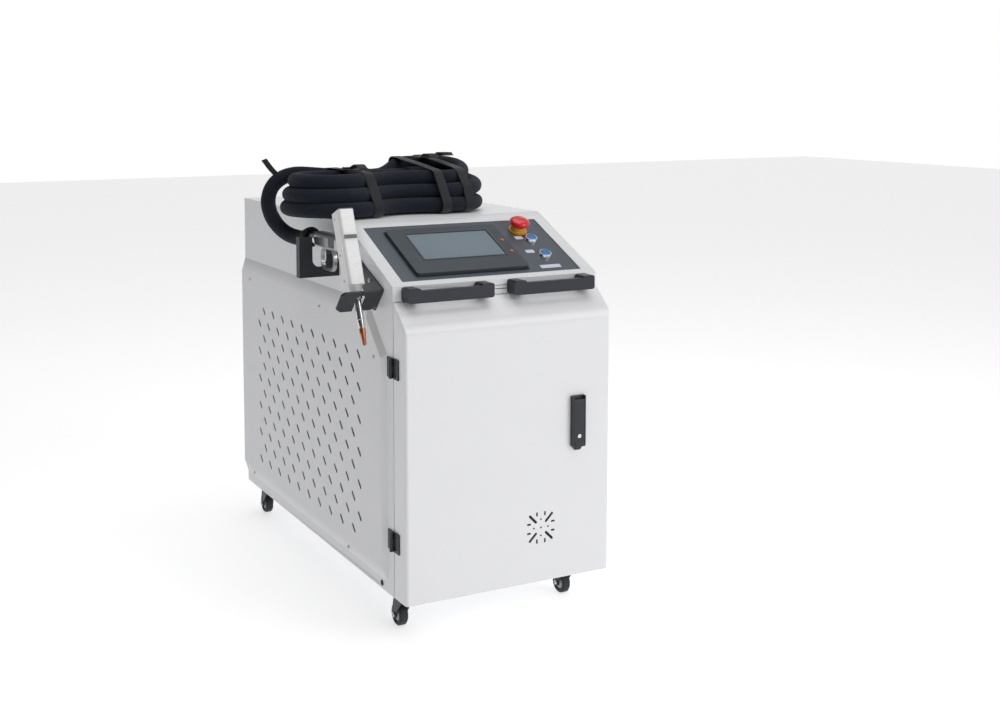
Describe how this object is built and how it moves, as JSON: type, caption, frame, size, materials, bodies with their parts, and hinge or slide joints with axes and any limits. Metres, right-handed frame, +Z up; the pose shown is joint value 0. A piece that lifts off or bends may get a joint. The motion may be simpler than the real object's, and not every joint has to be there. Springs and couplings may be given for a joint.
{
  "type": "laser welding machine",
  "caption": "Wheeled cabinet with sloped touch console, hinged door, slotted side panels and a hand-held welding gun parked beside its folded umbilical.",
  "frame": {"origin": "on the floor, under the middle of the machine's outline measured without the umbilical", "axes": "+Z up; the front door and console face -Y; +X is to the right of a person facing the front"},
  "size_m": [0.6222, 1.0594, 0.9757],
  "materials": {
    "cabinet_white": "white powder coat, fine texture",
    "panel_white": "white powder coat on folded sheet",
    "frame_steel": "zinc plated steel",
    "black_steel": "black powder coat",
    "black_plastic": "moulded black plastic",
    "rubber_black": "black rubber",
    "console_blue": "dark blue-grey panel",
    "bezel_dark": "dark moulded bezel",
    "screen_glass": "touch screen glass",
    "yellow_plastic": "yellow plastic",
    "red_plastic": "red plastic",
    "blue_plastic": "blue plastic",
    "amber_plastic": "amber lens",
    "white_plastic": "blank white plate",
    "chrome": "polished metal",
    "gun_white": "glossy white shell",
    "gun_alu": "bare aluminium",
    "gun_grey": "grey plastic",
    "copper": "copper tip",
    "sleeve_fabric": "dark navy braided sleeve",
    "strap_fabric": "black woven strap",
    "tyre_black": "dark rubber tread",
    "tank_plastic": "translucent white tank",
    "fin_alu": "aluminium fins",
    "black_iron": "black enamelled iron",
    "brass": "brass fitting",
    "board_steel": "zinc plated plate"
  },
  "bodies": {
    "cabinet": {"base_frame": "frame_steel", "body_shell": "cabinet_white", "rear_panel": "panel_white", "side_panel_left": "panel_white", "side_panel_right": "panel_white", "hinge_body_leaves": "black_steel", "front_handles": "black_plastic", "console_plate": "console_blue", "hmi_bezel": "bezel_dark", "hmi_screen": "screen_glass", "estop_collar": "yellow_plastic", "button_rings": "chrome", "label_plates": "white_plastic", "indicator_leds": "amber_plastic", "holder_plate": "black_steel", "holder_fork": "black_steel", "umbilical_hood": "black_plastic", "umbilical_lead": "sleeve_fabric", "umbilical_hank": "sleeve_fabric", "umbilical_tail": "sleeve_fabric", "hank_straps": "strap_fabric", "castor_plates": "black_steel", "laser_source": "black_steel", "chiller_tank": "tank_plastic", "compressor": "black_iron", "coolant_pump": "gun_alu", "condenser": "fin_alu", "power_supply": "fin_alu", "control_board": "board_steel", "mains_gland": "black_plastic", "gas_inlet": "brass", "breaker_body": "white_plastic", "panel_screws": "frame_steel"},
    "door": {"door": "cabinet_white", "door_gasket": "rubber_black", "hinge_door_leaves": "black_steel", "lock_housing": "black_plastic"},
    "latch_lever": {"lock_lever": "black_plastic"},
    "latch_bolt": {"lock_bolt": "frame_steel"},
    "estop": {"estop_button": "red_plastic"},
    "start_key": {"button_start": "blue_plastic"},
    "stop_key": {"button_stop": "blue_plastic"},
    "gun": {"gun_body": "gun_white", "gun_grip": "gun_alu", "gun_connector": "chrome", "gun_nozzle": "chrome", "gun_tip": "copper"},
    "trigger": {"gun_trigger": "black_plastic"},
    "lens_drawer": {"gun_lens_drawer": "gun_grey"},
    "fan": {"fan_rotor": "black_plastic"},
    "breaker": {"breaker_toggle": "black_plastic"},
    "swivel_fl": {"castor_fork_fl": "black_steel"},
    "wheel_fl": {"castor_wheel_fl": "tyre_black"},
    "swivel_fr": {"castor_fork_fr": "black_steel"},
    "wheel_fr": {"castor_wheel_fr": "tyre_black"},
    "swivel_rl": {"castor_fork_rl": "black_steel"},
    "wheel_rl": {"castor_wheel_rl": "tyre_black"},
    "swivel_rr": {"castor_fork_rr": "black_steel"},
    "wheel_rr": {"castor_wheel_rr": "tyre_black"}
  },
  "joints": [
    {"name": "door_hinge", "type": "hinge", "parent": "cabinet", "child": "door", "pos_m": [-0.214, -0.45975, 0.3975], "axis": [0, 0, -1], "range_deg": [0, 110]},
    {"name": "latch_lift", "type": "hinge", "parent": "door", "child": "latch_lever", "pos_m": [0.2055, -0.5255, 0.483], "axis": [-1, 0, 0], "range_deg": [0, 45]},
    {"name": "bolt_draw", "type": "slide", "parent": "door", "child": "latch_bolt", "axis": [-1, 0, 0], "range_m": [0, 0.012]},
    {"name": "estop_press", "type": "slide", "parent": "cabinet", "child": "estop", "axis": [0, 0.4147, -0.91], "range_m": [0, 0.004]},
    {"name": "start_press", "type": "slide", "parent": "cabinet", "child": "start_key", "axis": [0, 0.4147, -0.91], "range_m": [0, 0.0025], "stiffness_N_per_m": 600, "springref_m": -0.002},
    {"name": "stop_press", "type": "slide", "parent": "cabinet", "child": "stop_key", "axis": [0, 0.4147, -0.91], "range_m": [0, 0.0025], "stiffness_N_per_m": 600, "springref_m": -0.002},
    {"name": "gun_lift", "type": "slide", "parent": "cabinet", "child": "gun", "axis": [0, 0, 1], "range_m": [0, 0.025]},
    {"name": "trigger_press", "type": "slide", "parent": "gun", "child": "trigger", "axis": [0, 0, 1], "range_m": [0, 0.004], "stiffness_N_per_m": 500, "springref_m": -0.003},
    {"name": "lens_drawer_pull", "type": "slide", "parent": "gun", "child": "lens_drawer", "axis": [0, -0.9272, 0.3746], "range_m": [0, 0.03]},
    {"name": "castor_swivel_fl", "type": "hinge", "parent": "cabinet", "child": "swivel_fl", "pos_m": [-0.1645, -0.41325, 0.067], "axis": [0, 0, 1], "continuous": true},
    {"name": "castor_roll_fl", "type": "hinge", "parent": "swivel_fl", "child": "wheel_fl", "pos_m": [-0.1645, -0.39125, 0.025], "axis": [1, 0, 0], "continuous": true},
    {"name": "castor_swivel_fr", "type": "hinge", "parent": "cabinet", "child": "swivel_fr", "pos_m": [0.2475, -0.41325, 0.067], "axis": [0, 0, 1], "continuous": true},
    {"name": "castor_roll_fr", "type": "hinge", "parent": "swivel_fr", "child": "wheel_fr", "pos_m": [0.2475, -0.39125, 0.025], "axis": [1, 0, 0], "continuous": true},
    {"name": "castor_swivel_rl", "type": "hinge", "parent": "cabinet", "child": "swivel_rl", "pos_m": [-0.1645, 0.45075, 0.067], "axis": [0, 0, 1], "continuous": true},
    {"name": "castor_roll_rl", "type": "hinge", "parent": "swivel_rl", "child": "wheel_rl", "pos_m": [-0.1645, 0.47275, 0.025], "axis": [1, 0, 0], "continuous": true},
    {"name": "castor_swivel_rr", "type": "hinge", "parent": "cabinet", "child": "swivel_rr", "pos_m": [0.2475, 0.45075, 0.067], "axis": [0, 0, 1], "continuous": true},
    {"name": "castor_roll_rr", "type": "hinge", "parent": "swivel_rr", "child": "wheel_rr", "pos_m": [0.2475, 0.47275, 0.025], "axis": [1, 0, 0], "continuous": true},
    {"name": "fan_spin", "type": "hinge", "parent": "cabinet", "child": "fan", "pos_m": [-0.1585, 0.04975, 0.325], "axis": [1, 0, 0], "continuous": true},
    {"name": "breaker_throw", "type": "hinge", "parent": "cabinet", "child": "breaker", "pos_m": [0.0415, 0.50725, 0.17], "axis": [1, 0, 0], "range_deg": [0, 60]}
  ],
  "couplings": [
    {"joint": "bolt_draw", "follows": "latch_lift", "m_per_rad": 0.015264}
  ]
}
